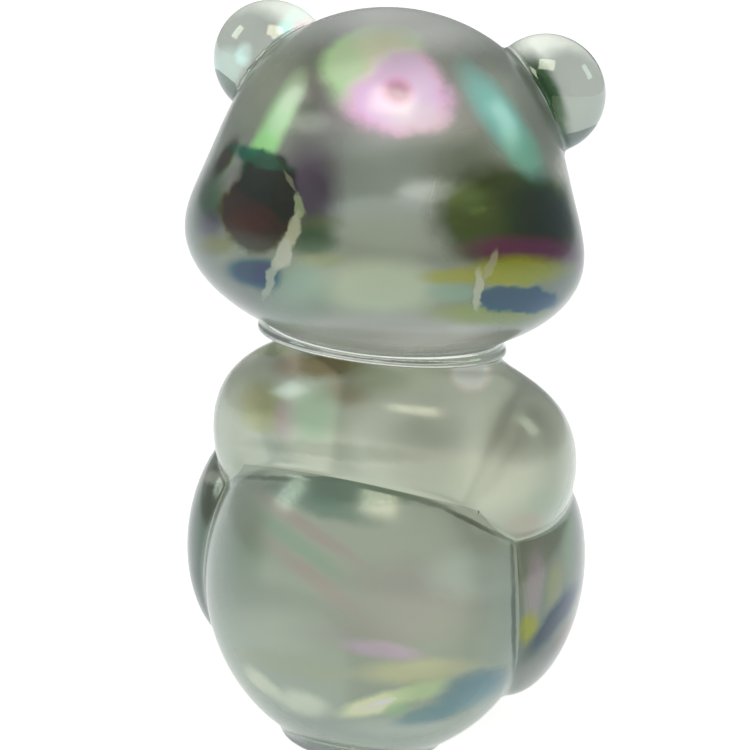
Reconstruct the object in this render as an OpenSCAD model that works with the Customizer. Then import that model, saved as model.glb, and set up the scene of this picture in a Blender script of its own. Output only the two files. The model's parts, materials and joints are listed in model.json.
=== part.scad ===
// Seated bear figurine in solid clear crystal glass, about 90 mm tall.
// Each node is one gather of glass, bounded by the creases where it was pressed onto its neighbours.
// The frame: +Z up, the bear faces -Y, and the origin is the middle of its footprint on the shelf.

/* [Body] */
// Half width of the round body
body_rx = 21; // [20:0.1:21.6]
// Half depth of the round body
body_ry = 17.8; // [17:0.1:18.6]
// Half height of the round body
body_rz = 22.3; // [21.6:0.1:22.8]
// Height of the body's centre above the shelf
body_z = 20.2; // [19.8:0.1:20.8]
// Lean of the body to the bear's right, over the legs
body_lean = 0.7; // [0:0.1:1]

/* [Foot ring] */
// Radius of the low ground foot under the body
foot_r = 10; // [8:0.5:11]
// Height of the low ground foot
foot_h = 1.5; // [1:0.1:2]

/* [Shoulders and arms] */
// Half width of the shoulders
shoulder_rx = 21; // [20:0.1:21.6]
// Height of the middle of the shoulders
shoulder_z = 40.4; // [39.6:0.1:41]
// Distance of each elbow from the middle of the shoulders
elbow_x = 15.4; // [14.6:0.1:16]
// Lean of the shoulders to the bear's right, over the body
shoulder_lean = 0.8; // [0:0.1:1]
// Radius of a rounded paw
paw_r = 4.8; // [4.4:0.1:5.2]

/* [Legs] */
// Distance of each drawn-up thigh from the middle of the footprint
thigh_x = 17.1; // [16.6:0.1:17.6]
// Distance of each hind foot from the middle of the footprint
hind_x = 9.6; // [9.2:0.1:10]
// Half width of the round pad on each sole
sole_r = 4.4; // [3.6:0.1:4.8]

/* [Neck and head] */
// Half width of the neck ring
neck_rx = 14.9; // [14.4:0.1:15.4]
// Height of the neck ring's lower face above the shelf
neck_z = 50.6; // [50.2:0.1:51]
// Head turned to one side, in degrees
head_turn = 8; // [0:1:10]
// Head tilted to one side, in degrees
head_tilt = 1.4; // [0:0.2:2]
// Half width of the cheeks
cheek_rx = 23.4; // [22.8:0.1:24]
// Radius of a round ear
ear_r = 7; // [6.6:0.1:7.4]
// Distance of each ear from the middle of the head
ear_x = 16.4; // [15.8:0.1:17]

/* [Face] */
// Half width of the muzzle
muzzle_rx = 8.5; // [8:0.1:9]
// Radius of a small round eye
eye_r = 2; // [1.6:0.1:2.2]
// Distance of each eye from the middle of the face
eye_x = 7.3; // [6.8:0.1:8]

/* [Hidden] */
$fn = 64;
GLASS = [0.66, 0.69, 0.63];
CLEAR = [0.82, 0.85, 0.83];
LEFT = 1;
RIGHT = -1;
TOO_BIG = 80;
// the body stands a little behind the middle of the footprint, because the hind feet reach forward
body_y = 1.8;
body_x = -body_lean;
shoulder_x = body_x - shoulder_lean;
neck_y = body_y + 3.4;
neck_h = 3;
neck_ry = 12.4;
head_y = body_y + 5.8;
tilt_z = neck_z + 1.2;
// turns the poles of a ball away from its cuts before it is stretched
UPRIGHT = [0, 0, 0];
FRONT_TO_BACK = [90, 0, 0];
$poles = FRONT_TO_BACK;

// one rounded gather: a ball stretched to the half sizes `size`, turned by `turn`, its centre at `at`
module gather(at, size, turn = [0, 0, 0]) {
    translate(at)
        rotate(turn)
            scale(size)
                rotate($poles)
                    sphere(r = 1);
}

// the head's own frame: turned and tilted about a point in the middle of the neck
module on_head() {
    translate([body_x, head_y, tilt_z])
        rotate([0, -head_tilt, 0])
            rotate([0, 0, head_turn])
                translate([0, 0, -tilt_z])
                    children();
}

module body_form() {
    gather([body_x, body_y, body_z], [body_rx, body_ry, body_rz]);
}

module shoulder_form() {
    gather([shoulder_x, body_y, shoulder_z], [shoulder_rx, 13.1, 11.6]);
}

module arm_form(side) {
    gather([shoulder_x + side * elbow_x, body_y - 3, 35.5], [6.9, 10.2, 8.8]);
}

module forearm_form(side) {
    gather([shoulder_x + side * 13.2, body_y - 12.8, 33], [5.2, 8.5, 5.4], [0, 0, -side * 22]);
}

module paw_form(side) {
    gather([shoulder_x + side * 9.6, body_y - 19.4, 32.6], [paw_r, paw_r, paw_r]);
}

module thigh_form(side) {
    gather([side * thigh_x, body_y - 7.5, 21], [7.8, 13.6, 15], [-8, 2 * side, -4 * side]);
}

module hind_foot_form(side) {
    gather([side * hind_x, body_y - 17.2, 6.6], [5.8, 9, 7.2]);
}

module head_form() {
    on_head() {
        gather([0, 0, 74], [19.6, 15.8, 17.3]);
        gather([0, 0, 63.5], [cheek_rx, 17.9, 12.2]);
    }
}

module muzzle_form() {
    on_head()
        gather([0, -16.5, 61.5], [muzzle_rx, 7, 6.2]);
}

module neck_form() {
    translate([body_x, neck_y, neck_z])
        scale([neck_rx / neck_ry, 1, 1])
            cylinder(r = neck_ry, h = neck_h);
}

// everything above the height z
module above(z) {
    translate([-TOO_BIG, -TOO_BIG, z])
        cube([2 * TOO_BIG, 2 * TOO_BIG, TOO_BIG]);
}

module base_foot() {
    color(CLEAR)
        translate([body_x, body_y, 0])
            cylinder(r = foot_r, h = foot_h);
}

module body() {
    $poles = UPRIGHT;
    color(GLASS)
        intersection() {
            body_form();
            above(foot_h);
        }
}

module shoulders() {
    $poles = UPRIGHT;
    color(GLASS)
        difference() {
            shoulder_form();
            body_form();
            above(neck_z);
        }
}

module arm(side) {
    $poles = UPRIGHT;
    color(GLASS)
        difference() {
            union() {
                arm_form(side);
                forearm_form(side);
            }
            shoulder_form();
            body_form();
            thigh_form(side);
        }
}

module paw(side) {
    color(CLEAR)
        difference() {
            paw_form(side);
            forearm_form(side);
            arm_form(side);
            body_form();
            thigh_form(side);
        }
}

module leg(side) {
    color(GLASS)
        difference() {
            thigh_form(side);
            body_form();
        }
}

module hind_foot(side) {
    color(CLEAR)
        difference() {
            intersection() {
                hind_foot_form(side);
                above(0);
            }
            thigh_form(side);
            body_form();
        }
}

// a low round pad on the sole, facing forwards
module sole(side) {
    color(CLEAR)
        difference() {
            gather([side * hind_x, body_y - 25.6, 7.2], [sole_r, 1.8, sole_r]);
            hind_foot_form(side);
        }
}

module neck_ring() {
    color(CLEAR)
        neck_form();
}

module head() {
    $poles = UPRIGHT;
    color(GLASS)
        difference() {
            head_form();
            neck_form();
        }
}

// a round ear with a shallow dish on its front
module ear(side) {
    color(CLEAR)
        difference() {
            on_head()
                difference() {
                    gather([side * ear_x, -5.7, 82.6], [ear_r, 5.1, ear_r]);
                    gather([side * (ear_x + 0.6), -11.8, 83.4], [4.6, 3.5, 4.6]);
                }
            head_form();
        }
}

module muzzle() {
    color(GLASS)
        difference() {
            muzzle_form();
            head_form();
        }
}

module nose() {
    color(CLEAR)
        difference() {
            on_head()
                gather([0, -22.8, 64.2], [3.1, 2, 2.2]);
            muzzle_form();
        }
}

module eye(side) {
    color(CLEAR)
        difference() {
            on_head()
                gather([side * eye_x, -15.2, 71], [eye_r, 1.6, eye_r]);
            head_form();
        }
}

base_foot();
body();
shoulders();
arm(LEFT);  // left_arm
arm(RIGHT);  // right_arm
paw(LEFT);  // left_paw
paw(RIGHT);  // right_paw
leg(LEFT);  // left_leg
leg(RIGHT);  // right_leg
hind_foot(LEFT);  // left_foot
hind_foot(RIGHT);  // right_foot
sole(LEFT);  // left_sole
sole(RIGHT);  // right_sole
neck_ring();
head();
ear(LEFT);  // left_ear
ear(RIGHT);  // right_ear
muzzle();
nose();
eye(LEFT);  // left_eye
eye(RIGHT);  // right_eye
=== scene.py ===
# %% [markdown]
# # Seated bear in iridised crystal
# The real piece is one lump of clear crystal glass, rounded as if it had been pressed together from
# gathers: body, shoulders, arms, legs, head and ears. Glass of this kind is usually sprayed while hot
# with a metal salt, which leaves a film some hundred nanometres thick. Such a film would give the
# satin skin and most of the green, brown, olive and blue patches. The rose patch on the crown, the dark
# patches on the cheeks and some smaller marks are painted reflections, painted shade and painted
# highlights. This script loads the imported CAD model as a fixed frame, models the glass as one
# distance formula, cuts that skin into the same gathers, and dresses and lights it. The front is a
# guess, because the bear is known from behind only.

# %% Load the frame
import json
import math

import bpy
import numpy as np
from mathutils import Euler, Matrix, Vector

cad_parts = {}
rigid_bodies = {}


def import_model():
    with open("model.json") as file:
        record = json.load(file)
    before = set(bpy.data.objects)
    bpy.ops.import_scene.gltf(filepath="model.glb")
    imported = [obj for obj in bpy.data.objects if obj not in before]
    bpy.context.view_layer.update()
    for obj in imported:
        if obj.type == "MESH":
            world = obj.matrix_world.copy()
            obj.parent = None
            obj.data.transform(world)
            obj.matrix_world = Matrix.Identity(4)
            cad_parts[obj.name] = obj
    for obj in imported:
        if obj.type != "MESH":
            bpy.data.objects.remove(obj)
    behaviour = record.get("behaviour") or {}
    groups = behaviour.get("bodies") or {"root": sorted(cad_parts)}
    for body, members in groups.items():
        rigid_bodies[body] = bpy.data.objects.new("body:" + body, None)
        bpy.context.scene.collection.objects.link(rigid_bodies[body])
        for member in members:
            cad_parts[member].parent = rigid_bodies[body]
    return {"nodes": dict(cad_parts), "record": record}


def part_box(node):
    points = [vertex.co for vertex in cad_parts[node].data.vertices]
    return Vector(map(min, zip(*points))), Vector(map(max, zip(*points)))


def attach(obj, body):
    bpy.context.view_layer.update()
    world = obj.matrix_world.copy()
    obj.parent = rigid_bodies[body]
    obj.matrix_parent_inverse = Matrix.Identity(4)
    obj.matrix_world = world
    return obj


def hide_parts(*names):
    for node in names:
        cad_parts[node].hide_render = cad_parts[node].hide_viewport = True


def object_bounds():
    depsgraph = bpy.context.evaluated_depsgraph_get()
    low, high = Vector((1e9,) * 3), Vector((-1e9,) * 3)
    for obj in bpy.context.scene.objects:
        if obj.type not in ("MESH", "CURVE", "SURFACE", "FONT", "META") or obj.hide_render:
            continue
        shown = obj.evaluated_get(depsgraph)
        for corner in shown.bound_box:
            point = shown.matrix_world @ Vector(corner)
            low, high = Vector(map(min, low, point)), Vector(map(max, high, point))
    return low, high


for leftover in list(bpy.data.objects):
    bpy.data.objects.remove(leftover)
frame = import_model()
cad_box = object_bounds()
MM = 0.001
print("nodes in the frame:", len(frame["nodes"]))

# %% [markdown]
# ## Gathers as stretched balls
# A gather of hot glass is round because of its surface tension, so a ball stretched to three half
# sizes describes it well. Metaballs or sculpting would also give the form, but a distance formula is
# exact at any point: it says how far a point is from the glass, and in which direction. Two gathers
# pressed together meet in a rounded crease, and a smooth minimum of two distances has just that
# shape, with the crease's radius as its one number. All lengths in the formula are in millimetres.

# %% Distance helpers
def turned(x=0, y=0, z=0):
    """Rotation matrix for angles in degrees about X, then Y, then Z."""
    return np.array(Euler([math.radians(a) for a in (x, y, z)]).to_matrix())


def ball(p, centre, half, turn=None):
    """Distance from a ball stretched to the half sizes, near enough to exact close to its skin."""
    q = p - np.array(centre)
    if turn is not None:
        q = q @ turn
    half = np.array(half, float)
    k = np.linalg.norm(q / half, axis=-1)
    steep = np.linalg.norm(q / (half * half), axis=-1) + 1e-9
    return k * (k - 1) / steep


def disc(p, centre, half_x, half_y, half_h, rim):
    """Distance from an upright oval disc whose edges are rounded to the radius rim."""
    q = p - np.array(centre)
    stretch = half_x / half_y
    flat = np.hypot(q[..., 0] / stretch, q[..., 1]) - half_y + rim
    tall = np.abs(q[..., 2]) - half_h + rim
    outside = np.hypot(np.maximum(flat, 0), np.maximum(tall, 0))
    return outside + np.minimum(np.maximum(flat, tall), 0) - rim


def fuse(a, b, crease):
    """Union of two distances with a rounded crease between them."""
    h = np.maximum(crease - np.abs(a - b), 0) / crease
    return np.minimum(a, b) - h * h * crease / 4


def carve(a, b, crease):
    """The glass of a without the glass of b, with a rounded edge."""
    return -fuse(-a, b, crease)


# %% [markdown]
# ## Places from the frame
# The CAD nodes say where each gather is. A gather whose node kept its whole width gives its centre
# and half sizes straight from its box. The cheeks, the thighs and the arms were cut by neighbours,
# so they are placed from the body's centre and the head's turning point instead.

# %% Centres and half sizes
def node_box(node):
    """Centre and half sizes of a CAD node's box, in millimetres."""
    low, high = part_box(node)
    return np.array((low + high) / 2) / MM, np.array((high - low) / 2) / MM


SIDES = {"left": 1, "right": -1}
body_mid, body_half = node_box("body")
shoulder_mid, shoulder_half = node_box("shoulders")
neck_mid, neck_half = node_box("neck_ring")
foot_mid, foot_half = node_box("base_foot")
sole_half = node_box("left_sole")[1]
paws = {side: node_box(side + "_paw") for side in SIDES}
body_x, body_y = body_mid[:2]
BODY_Z, BODY_RZ = 20.2, 22.3
SHOULDER_Z, SHOULDER_RZ = 40.4, 11.6
head_top = cad_box[1][2] / MM
head_pivot = np.array((body_x, body_y + 5.8, neck_mid[2] - 0.3))
head_turn = turned(y=-1.4) @ turned(z=8)
print("body centre, mm:", body_mid.round(1), " head top, mm:", round(head_top, 1))

# %% Distance from every gather
NODES = sorted(frame["nodes"])


def gathers(p):
    """Distance from each gather by node name, for points p in millimetres."""
    g = {}
    h = (p - head_pivot) @ head_turn + (0, 0, head_pivot[2])
    skull = ball(h, (0, 0, head_top - 17.3), (19.6, 15.8, 17.3))
    cheeks = ball(h, (0, 0, 63.4), (23.4, 17.9, 12.0))
    g["head"] = fuse(skull, cheeks, 9.2)
    g["muzzle"] = ball(h, (0, -16.5, 61.5), (8.5, 7, 6.2))
    g["nose"] = ball(h, (0, -22.8, 64.2), (3.1, 2, 2.2))
    g["body"] = ball(p, (body_x, body_y, BODY_Z), (*body_half[:2], BODY_RZ))
    g["shoulders"] = ball(p, (*shoulder_mid[:2], SHOULDER_Z), (*shoulder_half[:2], SHOULDER_RZ))
    # the ring looks thinner than its CAD node, so both of its discs are drawn a little smaller
    neck_band = disc(p, (*neck_mid[:2], neck_mid[2] + 0.6), neck_half[0], neck_half[1] - 1.2, 1.5, 0.5)
    lip = disc(p, (*neck_mid[:2], neck_mid[2] - 0.35), neck_half[0] + 0.2, neck_half[1] - 1.0, 0.35, 0.3)
    g["neck_ring"] = fuse(neck_band, lip, 0.4)
    g["base_foot"] = disc(p, (*foot_mid[:2], foot_mid[2]), *foot_half[:2], foot_half[2], 0.4)
    for name, side in SIDES.items():
        shoulder_x = shoulder_mid[0]
        ear = ball(h, (side * 16.4, -5.7, 82.6), (7, 5.1, 7))
        dish = ball(h, (side * 17, -11.8, 83.4), (4.6, 3.5, 4.6))
        g[name + "_ear"] = carve(ear, dish, 1.5)
        g[name + "_eye"] = ball(h, (side * 7.3, -15.2, 71), (2, 1.6, 2))
        upper = ball(p, (shoulder_x + side * 15.4, body_y - 3, 35.5), (6.9, 10.2, 8.8))
        fore = ball(p, (shoulder_x + side * 13.2, body_y - 12.8, 33), (5.2, 8.5, 5.4), turned(z=-side * 22))
        g[name + "_arm"] = fuse(upper, fore, 4)
        g[name + "_paw"] = ball(p, *paws[name])
        thigh_turn = turned(-8, 2 * side, -4 * side)
        g[name + "_leg"] = ball(p, (side * 17.1, body_y - 7.5, 21), (7.8, 13.6, 15), thigh_turn)
        g[name + "_foot"] = ball(p, (side * 9.6, body_y - 17.2, 6.6), (5.8, 9, 7.2))
        g[name + "_sole"] = ball(p, (side * 9.6, body_y - 25.6, 7.2), (sole_half[0], 1.8, sole_half[2]))
    return g


# Each row fuses the second gather into the first, with the rounding in mm. The last row joins
# everything, and the shoulders gather up whatever is left on the way.
CREASES = [
    ("head", "muzzle", 3.5), ("head", "nose", 0.8),
    ("head", "left_ear", 1.0), ("head", "right_ear", 1.0),
    ("head", "left_eye", 0.6), ("head", "right_eye", 0.6),
    ("shoulders", "left_arm", 5.0), ("shoulders", "right_arm", 5.0),
    ("shoulders", "left_paw", 1.0), ("shoulders", "right_paw", 1.0),
    ("shoulders", "body", 0.9), ("shoulders", "neck_ring", 3.5),
    ("left_leg", "left_foot", 1.4), ("right_leg", "right_foot", 1.4),
    ("left_leg", "left_sole", 0.8), ("right_leg", "right_sole", 0.8),
    ("shoulders", "left_leg", 0.7), ("shoulders", "right_leg", 0.7),
    ("shoulders", "base_foot", 0.9), ("head", "shoulders", 0.7),
]


def skin(p, g=None):
    """Distance from the whole bear: the gathers fused crease by crease, cut flat on the shelf."""
    d = dict(g or gathers(p))
    for into, other, crease in CREASES:
        d[into] = fuse(d[into], d[other], crease)
    return np.maximum(d["head"], -p[..., 2])

# %% [markdown]
# ## From formula to pieces
# The glass is sampled on a grid, and each sample is marked with the gather it lies in. Wherever two
# neighbouring samples differ, a small face is put between them. That gives the outer skin and, where
# two gathers meet inside the glass, the fused seam between them, in one step. Every gather comes out
# as a closed piece that meets its neighbours exactly. A voxel remesh of joined balls would be
# shorter, but its terraces would show as ripples in clear glass, so here every corner is slid onto
# the formula's own surface. The grid is finer in height at the thin neck ring and foot.

# %% Sample the glass on a grid
GRID = 0.5
FINE = GRID / 2.5
low, high = np.array(cad_box[0]) / MM - 2, np.array(cad_box[1]) / MM + 2
neck_low, neck_high = neck_mid[2] - 2.6, neck_mid[2] + 2.4
columns = [np.arange(low[a], high[a] + GRID, GRID) for a in (0, 1)]
levels = np.concatenate([
    np.arange(-2.5 * FINE, 2, FINE), np.arange(2, neck_low, GRID),
    np.arange(neck_low, neck_high, FINE), np.arange(neck_high, high[2] + GRID, GRID),
])
levels = levels[np.append(True, np.diff(levels) > FINE / 2)]
grid = (columns[0], columns[1], levels)


def label(p):
    """Number of the gather that each point lies in, from 1, or 0 in the air."""
    g = gathers(p)
    air = skin(p, g) > 0
    g["body"] = np.maximum(g["body"], 2 * foot_mid[2] - p[..., 2])
    inside = np.argmin(np.stack([g[n] for n in NODES]), axis=0) + 1
    return np.where(air, 0, inside).astype(np.uint8)


marks = np.stack([
    label(np.stack(np.meshgrid([x], grid[1], grid[2], indexing="ij"), axis=-1)[0]) for x in grid[0]
])
print("samples:", marks.shape, " in glass:", int((marks > 0).sum()))

# %% Put a corner in every mixed cell and a face across every mixed edge
corners = np.stack([
    marks[i:i + marks.shape[0] - 1, j:j + marks.shape[1] - 1, k:k + marks.shape[2] - 1]
    for i in (0, 1) for j in (0, 1) for k in (0, 1)
])
mixed = corners.min(axis=0) != corners.max(axis=0)
cell_number = np.full(mixed.shape, -1, np.int64)
cell_number[mixed] = np.arange(mixed.sum())
cell = np.argwhere(mixed)
around = corners[:, mixed]
touches_air = around.min(axis=0) == 0
first = np.where(around > 0, around, 255).min(axis=0).astype(int)
last = around.max(axis=0).astype(int)
centres = [(c[:-1] + c[1:]) / 2 for c in grid]
points = np.stack([centres[a][cell[:, a]] for a in range(3)], axis=1)

quads, owners, seams = [], [], []
for axis in range(3):
    u, v = (axis + 1) % 3, (axis + 2) % 3
    low_side = np.take(marks, range(marks.shape[axis] - 1), axis)
    high_side = np.take(marks, range(1, marks.shape[axis]), axis)
    edge = np.argwhere(low_side != high_side)
    a, b = low_side[tuple(edge.T)], high_side[tuple(edge.T)]
    loop = []
    for du, dv in ((-1, -1), (0, -1), (0, 0), (-1, 0)):
        around_edge = edge.copy()
        around_edge[:, u] += du
        around_edge[:, v] += dv
        loop.append(cell_number[tuple(around_edge.T)])
    loop = np.stack(loop, axis=1)
    seam = (a > 0) & (b > 0)
    quads += [loop[a > 0], loop[b > 0][:, ::-1]]
    owners += [a[a > 0], b[b > 0]]
    seams += [seam[a > 0], seam[b > 0]]
quads, owners, seams = np.concatenate(quads), np.concatenate(owners), np.concatenate(seams)
print("corners:", len(points), " faces:", len(quads))

# %% Slide every corner onto the surface
STEP = 0.02


def slope(f, p):
    """How fast f grows along X, Y and Z at each point."""
    reach = np.eye(3) * STEP
    return np.stack([f(p + r) - f(p - r) for r in reach], axis=-1) / (2 * STEP)


def to_skin(p):
    """One Newton step onto the outer skin."""
    s = slope(skin, p)
    return p - (skin(p) / np.maximum((s * s).sum(axis=1), 0.2))[:, None] * s


def to_seam(p, a, b, keep_on_skin):
    """One Newton step onto the seam between gathers a and b, sliding along the skin if asked to."""
    def gap(q):
        g = gathers(q)
        g["body"] = np.maximum(g["body"], 2 * foot_mid[2] - q[..., 2])
        every = np.stack([g[n] for n in NODES], axis=-1)
        rows = np.arange(len(q))
        return every[rows, a - 1] - every[rows, b - 1]
    s = slope(gap, p)
    if keep_on_skin:
        n = slope(skin, p)
        n /= np.linalg.norm(n, axis=1, keepdims=True) + 1e-9
        s = s - (s * n).sum(axis=1, keepdims=True) * n
    move = -(gap(p) / np.maximum((s * s).sum(axis=1), 0.3))[:, None] * s
    far = np.linalg.norm(move, axis=1, keepdims=True)
    return p + move * np.minimum(1, GRID / (far + 1e-9))


def relax(p, faces, move):
    """Moves corners halfway to the mean of their neighbours, so that the faces are even."""
    total, count = np.zeros_like(p), np.zeros(len(p))
    for a in range(4):
        for b in ((a + 1) % 4, (a + 3) % 4):
            np.add.at(total, faces[:, a], p[faces[:, b]])
            np.add.at(count, faces[:, a], 1)
    mean = total / np.maximum(count, 1)[:, None]
    return np.where((move & (count > 0))[:, None], (p + mean) / 2, p)


on_line = touches_air & (first != last)
on_skin = touches_air & ~on_line
on_seam = ~touches_air
skin_faces, seam_faces = quads[~seams], quads[seams]
for turn in range(4):
    points[touches_air] = to_skin(points[touches_air])
    points[on_line] = to_seam(points[on_line], first[on_line], last[on_line], True)
    points[on_seam] = to_seam(points[on_seam], first[on_seam], last[on_seam], False)
    if turn < 2:
        points = relax(points, skin_faces, on_skin)
        points = relax(points, seam_faces, on_seam)
for turn in range(2):
    points[touches_air] = to_skin(points[touches_air])
points[:, 2] = np.maximum(points[:, 2], 0)
normals = slope(skin, points)
normals /= np.linalg.norm(normals, axis=1, keepdims=True) + 1e-9
left_over = np.abs(skin(points[touches_air]))
print("largest miss on the skin, mm:", round(float(left_over.max()), 3), " mean:", float(left_over.mean()))

# %% [markdown]
# ## Colour and nodes
# Colours are written as sRGB hex, the way a maker reads them off a chart, and turned linear once.
# One helper adds a shader node with its settings and links, so a material reads as a recipe.

# %% Colour and node helpers
def linear(hex_colour):
    """Linear RGBA from an sRGB hex colour."""
    parts = [int(hex_colour[i:i + 2], 16) / 255 for i in (1, 3, 5)]
    return [c / 12.92 if c <= 0.04045 else ((c + 0.055) / 1.055) ** 2.4 for c in parts] + [1]


def add(tree, kind, settings=None, **links):
    """Adds a node; settings are its own properties, links are values or sockets for its inputs."""
    n = tree.nodes.new(kind)
    for key, value in (settings or {}).items():
        setattr(n, key, value)
    for key, value in links.items():
        socket = n.inputs[int(key[1:])] if key[1:].isdigit() else n.inputs[key.replace("_", " ")]
        if isinstance(value, bpy.types.NodeSocket):
            tree.links.new(value, socket)
        else:
            socket.default_value = value
    return n


# %% [markdown]
# ## Iridised crystal
# Crystal glass has an IOR of about 1.52 to 1.6. A film of metal oxide dulls it to a satin grey-green
# and gives its reflections colour. A tin oxide film has an IOR near 2, but that made every
# reflection too bright here, so 1.6 was matched instead. Thin-film interference alone puts its bands
# wherever the light happens to fall. The patches on this bear are told apart better by place, so
# each is a soft blot of colour, set one by one: pink and green on the crown, brown, olive and blue on
# the cheeks, pale stripes low on the back. Several blots are painted light, not film. The pink patch
# with its green rim and the two streaks beside it are painted reflections. The dark patches on the
# cheeks are painted shade for dark surroundings seen through the glass, and so is the grey of the
# ears. The lines along the creases are painted shade, and the bright spots low on the back, on the
# right shoulder and on the ears are painted highlights. Painted, they stay put from every side.
# Places are millimetres across and up from the bear's middle, on a plane that faces its back
# three-quarter view, because that is the only side that is known. The blots fade out on the front,
# and noise breaks up every edge.

# %% A recipe for iridised crystal
CRYSTAL_IOR = 1.52
FILM_IOR = 1.6
# with these two, a blot renders close to the colour that is written for it
FILM_GAIN = 1.42
FILM_SHEEN = 0.05
# how far behind the bear's middle, in mm, the blots of film and of painted light are gone and are whole
BLOTS_GONE, BLOTS_WHOLE = -17.0, -9.0
MIDDLE = (0.3, 3.4, 46.4)


def facing(azimuth, elevation, roll):
    """Rotation of something that looks at the bear; azimuth 0 is in front of it, 180 behind it."""
    a, e = math.radians(azimuth), math.radians(elevation)
    back = Vector((math.sin(a) * math.cos(e), -math.cos(a) * math.cos(e), math.sin(e)))
    right = Vector((0, 0, 1)).cross(back).normalized()
    rolled = Matrix.Rotation(math.radians(roll), 3, back)
    return Matrix((rolled @ right, rolled @ back.cross(right), back)).transposed()


BLOT_PLANE = facing(198.3, 15.5, 4.0).to_euler()


def blot(tree, place, at, size, tilt, edge):
    """Strength, from 0 to 1, of a soft oval blot with half sizes in mm, tilted by `tilt` degrees."""
    oval = add(tree, "ShaderNodeMapping", {"vector_type": "TEXTURE"}, Vector=place, Location=(*at, 0),
               Rotation=(0, 0, math.radians(tilt)), Scale=(*size, 1e6))
    far = add(tree, "ShaderNodeVectorMath", {"operation": "LENGTH"}, i0=oval.outputs[0])
    fade = add(tree, "ShaderNodeMapRange", {"interpolation_type": "SMOOTHSTEP"},
               i0=far.outputs["Value"], i1=1 - edge, i2=1 + edge, i3=1.0, i4=0.0)
    return fade.outputs[0]


def iridised(name, base, blots, rough=0.28, clear=0.55, film=(255, 278)):
    """Crystal glass with a base tint, blots of film and of painted light over it, and a satin skin; `film` is
    in nanometres.
    """
    m = bpy.data.materials.new(name)
    m.use_nodes = True
    tree = m.node_tree
    shader = tree.nodes["Principled BSDF"]
    place = add(tree, "ShaderNodeTexCoord").outputs["Object"]
    place = add(tree, "ShaderNodeMapping", {"vector_type": "TEXTURE"}, Vector=place,
                Location=Vector(MIDDLE) * MM, Rotation=BLOT_PLANE, Scale=(MM, MM, MM)).outputs[0]
    depth = add(tree, "ShaderNodeSeparateXYZ", Vector=place).outputs["Z"]
    behind = add(tree, "ShaderNodeMapRange", i0=depth, i1=BLOTS_GONE, i2=BLOTS_WHOLE).outputs[0]
    cloud = add(tree, "ShaderNodeTexNoise", Vector=place, Scale=0.09, Detail=2.0)
    bare = add(tree, "ShaderNodeMix", {"data_type": "RGBA"}, i0=cloud.outputs[0],
               i6=linear(base[0]), i7=linear(base[1])).outputs[2]
    warp = add(tree, "ShaderNodeTexNoise", Vector=place, Scale=0.45, Detail=4.0, Roughness=0.6)
    warp = add(tree, "ShaderNodeVectorMath", {"operation": "SUBTRACT"}, i0=warp.outputs["Color"],
               i1=[0.5] * 3)
    moved = {}
    colour = bare
    for x, y, half_x, half_y, tilt, hex_colour, strength, edge, ragged in blots:
        if ragged not in moved:
            moved[ragged] = add(tree, "ShaderNodeVectorMath", {"operation": "MULTIPLY_ADD"},
                                i0=warp.outputs[0], i1=[ragged * 2] * 3, i2=place).outputs[0]
        s = blot(tree, moved[ragged], (x, y), (half_x, half_y), tilt, edge)
        s = add(tree, "ShaderNodeMath", {"operation": "MULTIPLY"}, i0=s, i1=strength).outputs[0]
        colour = add(tree, "ShaderNodeMix", {"data_type": "RGBA"},
                     i0=s, i6=colour, i7=linear(hex_colour)).outputs[2]
    colour = add(tree, "ShaderNodeMix", {"data_type": "RGBA"}, i0=behind, i6=bare, i7=colour).outputs[2]
    # the film's own reflection lifts every colour a little, so the tint under it is that much deeper
    colour = add(tree, "ShaderNodeVectorMath", {"operation": "MULTIPLY_ADD"},
                 i0=colour, i1=[FILM_GAIN] * 3, i2=[-FILM_SHEEN * FILM_GAIN] * 3).outputs[0]
    colour = add(tree, "ShaderNodeVectorMath", {"operation": "MAXIMUM"}, i0=colour, i1=[0.003] * 3).outputs[0]
    colour = add(tree, "ShaderNodeVectorMath", {"operation": "MINIMUM"}, i0=colour, i1=[0.95] * 3).outputs[0]
    fine = add(tree, "ShaderNodeTexNoise", Vector=place, Scale=1.4, Detail=3.0)
    skin_rough = add(tree, "ShaderNodeMapRange", i0=fine.outputs[0],
                     i1=0.3, i2=0.7, i3=rough * 0.85, i4=rough * 1.15)
    drift = add(tree, "ShaderNodeTexNoise", Vector=place, Scale=0.06, Detail=1.0)
    film_depth = add(tree, "ShaderNodeMapRange", i0=drift.outputs[0], i1=0.3, i2=0.7, i3=film[0], i4=film[1])
    tree.links.new(colour, shader.inputs["Base Color"])
    tree.links.new(skin_rough.outputs[0], shader.inputs["Roughness"])
    tree.links.new(film_depth.outputs[0], shader.inputs["Thin Film Thickness"])
    shader.inputs["Thin Film IOR"].default_value = FILM_IOR
    shader.inputs["IOR"].default_value = CRYSTAL_IOR
    shader.inputs["Transmission Weight"].default_value = clear
    return m
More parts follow.
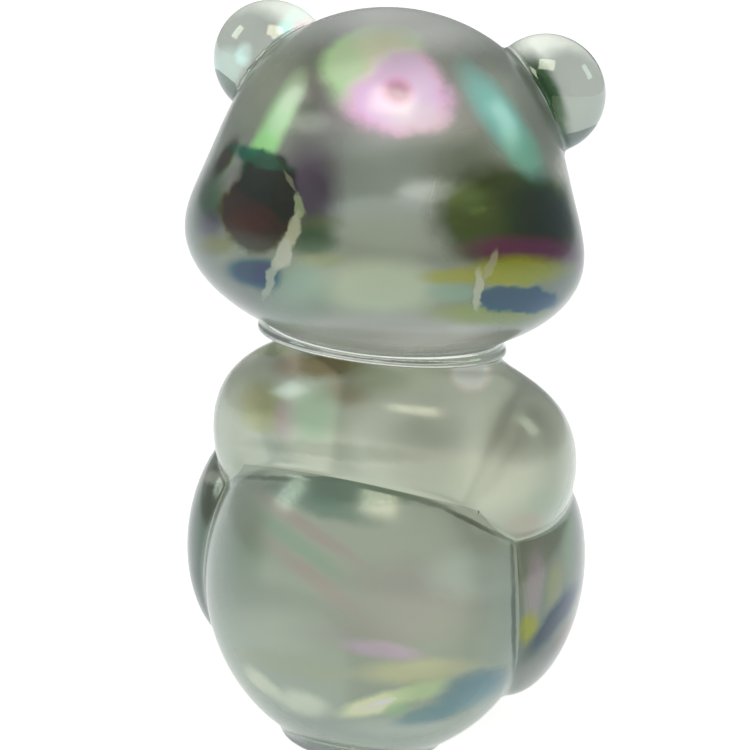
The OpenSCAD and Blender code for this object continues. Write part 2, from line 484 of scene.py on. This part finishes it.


# %% Film on the head, with painted reflections and painted shade
# Each row: across, up, half width, half height, tilt, colour, strength, softness, raggedness. The
# colour is the film's own, except where a comment says it is painted light.
HEAD_BLOTS = [
    # crown and the plain film between the patches
    (0.5, 40.3, 14, 4.0, 0, "#d8dcd6", 0.9, 0.5, 0.5),
    (-10, 34.0, 6, 6.0, 0, "#9aa08f", 0.6, 0.6, 0.5),
    (-5.0, 29.7, 4, 9.0, 0, "#4c4c49", 0.7, 0.7, 0.5),
    (-0.5, 20.7, 7, 9.0, 0, "#99a19b", 0.7, 0.7, 0.5),
    (0.0, 14.0, 5, 3.5, 0, "#8f9686", 0.8, 0.5, 0.5),
    (10.6, 21.8, 4, 4.0, 0, "#6a7060", 0.6, 0.6, 0.5),
    (0.6, 9.6, 6.6, 3.0, 0, "#b4bfa6", 0.85, 0.45, 0.3),
    (1.1, 4.5, 14, 2.6, 0, "#a8a8a0", 0.8, 0.4, 0.3),
    # right cheek: dark green, painted shade for the dark surroundings seen through the glass, then purple,
    # yellow, blue and olive bands, film colours painted deeper by that dark
    (15.2, 17.6, 8.6, 5.8, 0, "#434b3b", 0.95, 0.25, 0.8),
    (19.0, 17.9, 4, 4.5, 0, "#363c2e", 0.7, 0.6, 0.5),
    (17.4, 13.9, 6.5, 1.6, 0, "#6a4058", 0.9, 0.5, 0.5),
    (15.9, 11.6, 5.6, 1.6, 4, "#969a2c", 0.9, 0.45, 0.5),
    (8.6, 10.9, 3.2, 0.9, 0, "#97983e", 0.8, 0.5, 0.3),
    (8.6, 9.2, 2.8, 1.0, 0, "#84a593", 0.7, 0.5, 0.3),
    (12.9, 6.9, 6.0, 1.2, 0, "#8d9a58", 0.75, 0.5, 0.3),
    (16.2, 8.5, 4.9, 1.5, 0, "#044c6c", 0.97, 0.2, 1.0),
    (11.5, 9.5, 0.5, 2.2, -5, "#b9bda8", 0.8, 0.3, 1.0),
    (12.9, 12.3, 0.4, 1.8, -25, "#a8a58c", 0.6, 0.3, 1.0),
    # painted reflections in film colours: the cyan streak, the pink patch with its green rim, which lies
    # over the top softbox's real highlight, and the green streak
    (14.0, 28.8, 1.9, 6.2, 35, "#7cc4b8", 0.9, 0.6, 0.3),
    (16.6, 25.2, 1.8, 2.5, 30, "#6fae90", 0.6, 0.6, 0.3),
    (-0.6, 35.6, 5.2, 3.0, 15, "#d4ffb8", 0.97, 0.4, 0.5),
    (-3.0, 33.6, 2.2, 3.4, 0, "#b4e8a0", 0.8, 0.6, 0.5),
    (2.6, 30.4, 5.6, 3.3, 0, "#f4bce4", 0.97, 0.35, 1.0),
    (3.4, 33.2, 3.6, 3.2, -20, "#f4c4e0", 0.95, 0.35, 0.8),
    (4.5, 28.6, 3.4, 1.8, 0, "#e8cfd2", 0.7, 0.5, 0.5),
    (2.5, 31.5, 1.5, 1.3, 0, "#a06c88", 0.9, 0.6, 0.3),
    (-11.3, 28.0, 1.45, 5.4, -27, "#a4d494", 0.9, 0.5, 0.3),
    (-12.7, 25.2, 1.4, 2.4, -27, "#9ae48c", 0.9, 0.5, 0.3),
    (-9.3, 31.9, 1.2, 2.5, -27, "#b4c4a4", 0.7, 0.6, 0.3),
    # left cheek: what lies round the dark patch
    (-16.7, 24.1, 0.5, 2.4, -35, "#94b08a", 0.6, 0.5, 0.3),
    (-17.2, 24.6, 0.9, 2.6, -30, "#33241c", 0.85, 0.5, 0.3),
    (-18.8, 19.6, 1.8, 3.2, 0, "#3b5240", 0.8, 0.5, 0.5),
    (-18.9, 17.1, 1.6, 1.6, 0, "#5a4a60", 0.7, 0.6, 0.5),
    (-18.1, 14.8, 2.0, 1.1, 0, "#75723f", 0.75, 0.5, 0.3),
    (-7.3, 24.0, 3.5, 3.0, 0, "#676266", 0.6, 0.7, 0.5),
    (-7.3, 20.1, 3.0, 4.6, 0, "#4e4156", 0.85, 0.55, 0.5),
    (-6.4, 16.8, 2.6, 1.0, 0, "#5f6f4c", 0.6, 0.6, 0.3),
    (-7.0, 14.8, 2.6, 1.6, 0, "#3f5842", 0.8, 0.5, 0.3),
    (-6.2, 12.7, 2.4, 0.8, 0, "#8c9460", 0.5, 0.6, 0.3),
    (-8.4, 10.1, 3.4, 2.2, 0, "#83a08d", 0.6, 0.6, 0.3),
    (-9.5, 7.3, 3.5, 2.0, 0, "#8f9c8c", 0.6, 0.6, 0.3),
    (-13.8, 11.6, 3.0, 1.5, -8, "#06425e", 0.95, 0.4, 0.3),
    (-12.3, 11.2, 1.5, 1.6, 0, "#043e66", 0.9, 0.5, 0.3),
    # the dark patch, painted shade for the dark surroundings seen through the glass, and its ragged pale edge
    (-13.4, 18.3, 4.1, 4.6, 12, "#44361e", 0.98, 0.12, 1.0),
    (-12.1, 22.3, 3.2, 2.6, -30, "#10181c", 0.98, 0.25, 1.0),
    (-13.0, 24.3, 3.4, 1.0, -25, "#10584c", 0.9, 0.4, 0.5),
    (-10.2, 20.2, 1.6, 2.6, 15, "#101a38", 0.9, 0.35, 0.5),
    (-13.6, 17.1, 2.4, 1.8, 0, "#553a1c", 0.6, 0.6, 0.5),
    (-9.4, 21.8, 0.2, 1.5, 35, "#7f8068", 0.7, 0.3, 1.0),
    (-8.5, 18.7, 0.55, 1.6, 8, "#93a07c", 0.9, 0.25, 1.0),
    (-9.1, 16.0, 0.75, 2.2, -12, "#b4b79a", 0.95, 0.25, 1.0),
    (-10.3, 13.4, 0.9, 1.9, -22, "#b9bcab", 0.95, 0.25, 1.0),
    (-11.8, 10.6, 0.45, 2.2, -22, "#a9b0a0", 0.8, 0.3, 1.0),
]

# %% Film, painted shade and painted highlights on the shoulders, the body and the legs
SHOULDER_BLOTS = [
    (-5.6, 1.2, 5.4, 1.6, 0, "#6e5a38", 0.85, 0.5, 0.5),
    (-3.7, -2.0, 2.8, 1.5, 0, "#8a7a64", 0.7, 0.6, 0.5),
    (-12.4, 3.2, 2.5, 0.9, 0, "#85915c", 0.7, 0.5, 0.5),
    (-10.4, 1.2, 1.4, 1.4, 0, "#b9a594", 0.6, 0.6, 0.5),
    (-13.7, -3.3, 2.6, 2.6, 0, "#9a9c6c", 0.75, 0.6, 0.5),
    (-13.0, -5.6, 2.4, 1.2, 0, "#b0b080", 0.6, 0.6, 0.5),
    (-10.4, -5.2, 1.5, 2.0, 0, "#b49ca4", 0.7, 0.6, 0.5),
    (-7.2, -4.6, 2.8, 3.4, 0, "#84a388", 0.75, 0.6, 0.5),
    (1.6, -0.4, 4.5, 1.8, 0, "#b9c0a8", 0.6, 0.7, 0.5),
    # painted highlight on the right shoulder, over the real one from the top softbox
    (11.3, 0.3, 2.0, 1.8, 0, "#fff0ea", 1.0, 0.6, 0.5),
    (16.8, -6.3, 4.0, 3.4, 0, "#85877a", 0.7, 0.6, 0.5),
    (7.1, -6.3, 4.0, 2.8, 0, "#8d9186", 0.6, 0.7, 0.5),
    (20.4, -15.0, 3.0, 1.6, 0, "#a9b8a4", 0.6, 0.6, 0.5),
    (17.8, -17.6, 2.0, 1.3, 0, "#b5a99a", 0.7, 0.6, 0.5),
    (-5.2, -8.9, 9.0, 1.0, -4, "#8a8f82", 0.6, 0.5, 0.5),
    (-0.4, -11.1, 9.0, 0.45, -10, "#b3b6a6", 0.7, 0.5, 0.3),
]
BODY_BLOTS = [
    # the shade along the creases with the shoulders and the right leg
    (-6.0, -12.3, 9.0, 0.35, 0, "#565c52", 0.8, 0.5, 0.3),
    (3.5, -14.2, 5.0, 0.35, -14, "#565c52", 0.8, 0.5, 0.3),
    (11.8, -17.5, 5.2, 0.3, -27, "#4e544a", 0.8, 0.5, 0.3),
    (16.5, -28.0, 0.28, 8.5, 2, "#464b42", 0.85, 0.5, 0.3),
    (-5.0, -13.7, 7.2, 1.7, -3, "#54655c", 0.9, 0.5, 0.5),
    (-5.6, -15.6, 5.5, 1.2, -15, "#62786e", 0.75, 0.6, 0.5),
    (2.2, -13.4, 5.0, 1.3, -10, "#5e6b60", 0.8, 0.5, 0.5),
    (-7.5, -18.2, 6.5, 0.8, -33, "#a08f8e", 0.6, 0.6, 0.5),
    (-9.1, -19.9, 6.0, 0.9, -35, "#84a08c", 0.6, 0.6, 0.5),
    (-6.5, -24.4, 6.5, 1.0, -38, "#a3948f", 0.6, 0.6, 0.5),
    (-15.3, -21.5, 2.2, 4.0, 0, "#86947f", 0.6, 0.7, 0.5),
    (4.9, -26.0, 8.0, 3.8, 0, "#93918d", 0.75, 0.7, 0.5),
    (11.4, -23.4, 5.0, 2.6, 0, "#b2beb4", 0.6, 0.6, 0.5),
    (-12.4, -30.5, 5.0, 2.6, 0, "#a9b0a0", 0.6, 0.7, 0.5),
    (-0.4, -30.3, 8.0, 1.6, 0, "#989692", 0.6, 0.6, 0.5),
    (-10.0, -34.4, 6.0, 1.2, -10, "#9aa088", 0.6, 0.6, 0.5),
    (4.9, -34.8, 6.2, 1.4, 3, "#bfc09a", 0.85, 0.6, 0.5),
    (0.9, -32.2, 4.3, 1.0, -8, "#b9a5ba", 0.85, 0.5, 0.5),
    (2.8, -41.9, 6.0, 1.2, 0, "#b4bab0", 0.6, 0.6, 0.5),
    # painted reflections of the pale floor: the bright rim low on the left and the yellow-white spot with its
    # white core; the bands round them are film
    (-13.4, -37.0, 2.6, 0.9, -38, "#dfe2c8", 0.5, 0.5, 0.5),
    (-8.5, -39.3, 3.0, 1.4, -15, "#c9cfba", 0.8, 0.6, 0.5),
    (0.2, -39.0, 3.8, 1.1, 18, "#eef4c4", 0.95, 0.6, 0.5),
    (5.4, -37.4, 4.0, 1.1, 15, "#b6cc9c", 0.8, 0.5, 0.5),
    (12.0, -36.1, 3.5, 1.1, 10, "#74878c", 0.7, 0.5, 0.5),
    (11.4, -37.8, 4.4, 1.9, 20, "#5f7d8a", 0.9, 0.5, 0.5),
    (6.7, -40.4, 4.0, 1.1, 12, "#5d7f8a", 0.8, 0.5, 0.5),
    (2.6, -39.6, 1.6, 0.8, 12, "#93b48c", 0.7, 0.6, 0.5),
    (0.9, -38.7, 1.4, 0.3, 20, "#fbfbe4", 0.9, 0.5, 0.5),
]
LEG_BLOTS = [
    (19.1, -25.1, 1.1, 4.0, -5, "#94868e", 0.8, 0.5, 0.5),
    (21.7, -25.1, 0.9, 2.8, -10, "#8f9066", 0.7, 0.5, 0.5),
    (23.3, -19.5, 0.8, 4.5, 0, "#7f9474", 0.6, 0.5, 0.5),
    (18.3, -30.3, 1.2, 1.9, -20, "#8f9030", 0.9, 0.5, 0.5),
    (21.8, -29.4, 1.2, 5.0, -38, "#242e48", 0.95, 0.5, 0.5),
    (23.2, -31.6, 0.8, 3.0, -38, "#6e5850", 0.8, 0.5, 0.5),
    (19.1, -36.1, 2.4, 1.4, 35, "#8f8a84", 0.6, 0.6, 0.5),
    (-20.4, -15.6, 1.3, 3.4, -20, "#62675f", 0.9, 0.5, 0.5),
    (-19.8, -12.6, 1.2, 0.8, 0, "#b9bdb0", 0.7, 0.5, 0.3),
    (-21.0, -20.7, 0.9, 3.0, 5, "#6f7a70", 0.8, 0.6, 0.5),
]
EAR_BLOTS = [
    # painted light on the ears: grey for the darker head seen through them, painted shade along the creases
    # with the head, and small cyan and pink painted glints
    (-15.0, 37.2, 5.6, 5.6, 0, "#8c928c", 0.9, 0.2, 0.5),
    (22.6, 31.4, 5.6, 6.0, 0, "#8c928c", 0.9, 0.2, 0.5),
    (19.6, 32.4, 1.5, 5.0, 25, "#38443a", 0.95, 0.4, 0.5),
    (-12.9, 36.2, 0.5, 5.0, -46, "#4c524c", 0.85, 0.4, 0.5),
    (-15.2, 37.4, 0.9, 1.2, 0, "#c5e6e0", 0.8, 0.5, 0.5),
    (-9.0, 40.4, 0.9, 1.0, 0, "#e8c8cc", 0.8, 0.5, 0.5),
    (-10.5, 40.2, 0.9, 0.8, 0, "#bfe8dc", 0.8, 0.5, 0.5),
]

# %% One finish for each material slot
# the blots of the head, body, shoulders and ears hold painted reflections, painted shade and painted
# highlights as well as film
TONES = {
    "iridised_head": iridised("iridised crystal, heavy film, painted reflections and shade", ("#8a8e84", "#80867b"), HEAD_BLOTS, 0.2),
    "iridised_body": iridised("iridised crystal, satin film, painted shade and highlights", ("#9ea598", "#949c8f"), BODY_BLOTS, 0.2),
    "iridised_shoulders": iridised(
        "iridised crystal, warm film, painted highlight", ("#babfb0", "#b0b5a6"), SHOULDER_BLOTS, 0.2
    ),
    "iridised_legs": iridised("iridised crystal, banded film", ("#787d72", "#6e7369"), LEG_BLOTS, 0.18),
    "clear_glass": iridised(
        "crystal, fire polished, painted glints and shade", ("#dfe4dc", "#d3d8d0"), EAR_BLOTS, 0.06, 0.92, (255, 278)
    ),
    "ground_glass": iridised(
        "crystal, ground foot", ("#f2f4f0", "#eaeee8"), [], 0.2, 0.9, (225, 260)
    ),
}

# %% [markdown]
# ## Fused seams
# Inside the real bear there is nothing to see where two gathers meet, because glass fused to glass
# has no surface. Each piece is still a closed solid here, so its seam faces get a material that
# lets light straight through without bending it.

# %% The seam that can't be seen
seam_glass = bpy.data.materials.new("fused seam inside the crystal")
seam_glass.use_nodes = True
seam_tree = seam_glass.node_tree
seam_tree.nodes.remove(seam_tree.nodes["Principled BSDF"])
clear_through = add(seam_tree, "ShaderNodeBsdfTransparent")
seam_tree.links.new(clear_through.outputs[0], seam_tree.nodes["Material Output"].inputs["Surface"])

# %% One closed piece for every gather
slots = {s["node"]: s["material_slot"] for s in frame["record"]["subparts"]}
for number, node in enumerate(NODES, start=1):
    mine = owners == number
    used, faces = np.unique(quads[mine], return_inverse=True)
    faces = faces.reshape(-1, 4)
    mesh = bpy.data.meshes.new(node + "_glass")
    mesh.from_pydata((points[used] * MM).tolist(), [], faces.tolist())
    mesh.materials.append(TONES[slots[node]])
    mesh.materials.append(seam_glass)
    inner = seams[mine]
    mesh.polygons.foreach_set("material_index", inner.astype(np.int32))
    mesh.polygons.foreach_set("use_smooth", np.ones(len(faces), bool))
    mesh.update()
    flat = np.zeros(len(faces) * 3)
    mesh.polygons.foreach_get("normal", flat)
    flat = flat.reshape(-1, 3)
    loop_normals = normals[used][faces]
    loop_normals[inner] = flat[inner][:, None, :]
    mesh.normals_split_custom_set(loop_normals.reshape(-1, 3).tolist())
    piece = bpy.data.objects.new(node + "_glass", mesh)
    bpy.context.scene.collection.objects.link(piece)
    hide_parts(node)
    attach(piece, "root")
print("pieces of glass:", len(NODES), " faces in all:", len(quads))

# %% [markdown]
# ## Floor, light and camera
# Glass shows what is around it, so a bright, even surround matters more than strong lamps. The floor
# is a plain pale sheet that glows a little, like a light table, and so lights the glass from below.
# The air is mid grey, which gives clear glass something darker to show, but the camera sees it
# white, so that no horizon line stands behind the bear. A softbox hangs above the camera for the
# highlight on the back of the head, and two stand at the sides.

# %% Pale floor
FLOOR_REACH = 3000
FLOOR_GLOW = 0.75
FLOOR_DROP = 0.02
floor_mesh = bpy.data.meshes.new("floor")
floor_corners = [(-FLOOR_REACH, -FLOOR_REACH), (FLOOR_REACH, -FLOOR_REACH),
                 (FLOOR_REACH, FLOOR_REACH), (-FLOOR_REACH, FLOOR_REACH)]
floor_mesh.from_pydata([(x * MM, y * MM, -FLOOR_DROP * MM) for x, y in floor_corners], [], [(0, 1, 2, 3)])
floor_paint = bpy.data.materials.new("matt pale paint on a light table")
floor_paint.use_nodes = True
paint = floor_paint.node_tree.nodes["Principled BSDF"]
paint.inputs["Base Color"].default_value = linear("#f4f4f2")
paint.inputs["Roughness"].default_value = 0.9
paint.inputs["Emission Color"].default_value = linear("#ffffff")
paint.inputs["Emission Strength"].default_value = FLOOR_GLOW
floor_mesh.materials.append(floor_paint)
floor = bpy.data.objects.new("floor", floor_mesh)
bpy.context.scene.collection.objects.link(floor)

# %% Soft studio light
AIR = 0.4
SEEN_AIR = 3.0
world = bpy.data.worlds.new("studio air")
world.use_nodes = True
air = world.node_tree
seen = add(air, "ShaderNodeLightPath").outputs["Is Camera Ray"]
wall = add(air, "ShaderNodeMix", {"data_type": "RGBA"},
           i0=seen, i6=linear("#ffffff"), i7=[SEEN_AIR] * 3 + [1])
air.links.new(wall.outputs[2], air.nodes["Background"].inputs["Color"])
air.nodes["Background"].inputs["Strength"].default_value = AIR
bpy.context.scene.world = world


def softbox(name, at, aim, width, height, watts):
    """A soft rectangular lamp at `at`, facing the point `aim`, in millimetres."""
    lamp = bpy.data.lights.new(name, "AREA")
    lamp.shape = "RECTANGLE"
    lamp.size = width * MM
    lamp.size_y = height * MM
    lamp.energy = watts
    box = bpy.data.objects.new(name, lamp)
    box.location = Vector(at) * MM
    box.rotation_euler = (Vector(at) - Vector(aim)).to_track_quat("Z", "Y").to_euler()
    bpy.context.scene.collection.objects.link(box)


softbox("top softbox", (-40, 320, 420), (0, 0, 80), 190, 160, 0.55)
softbox("left strip", (400, 190, 300), (0, 0, 60), 130, 150, 0.3)
softbox("right strip", (-400, -60, 320), (0, 0, 60), 130, 160, 0.22)

# %% Camera
CAMERA_TURN = facing(198.3, 15.5, 4.04)
DISTANCE = 360
camera = bpy.data.objects.new("camera", bpy.data.cameras.new("camera"))
camera.data.lens = 144
camera.data.clip_start = 0.01
stand = Vector(MIDDLE) + DISTANCE * CAMERA_TURN.col[2]
camera.matrix_world = Matrix.Translation(stand * MM) @ CAMERA_TURN.to_4x4()
bpy.context.scene.collection.objects.link(camera)
bpy.context.scene.camera = camera

# %% How light travels through the glass
scene = bpy.context.scene
scene.view_settings.view_transform = "Standard"
scene.cycles.max_bounces = 14
scene.cycles.transmission_bounces = 12
scene.cycles.transparent_max_bounces = 48
scene.cycles.sample_clamp_indirect = 6
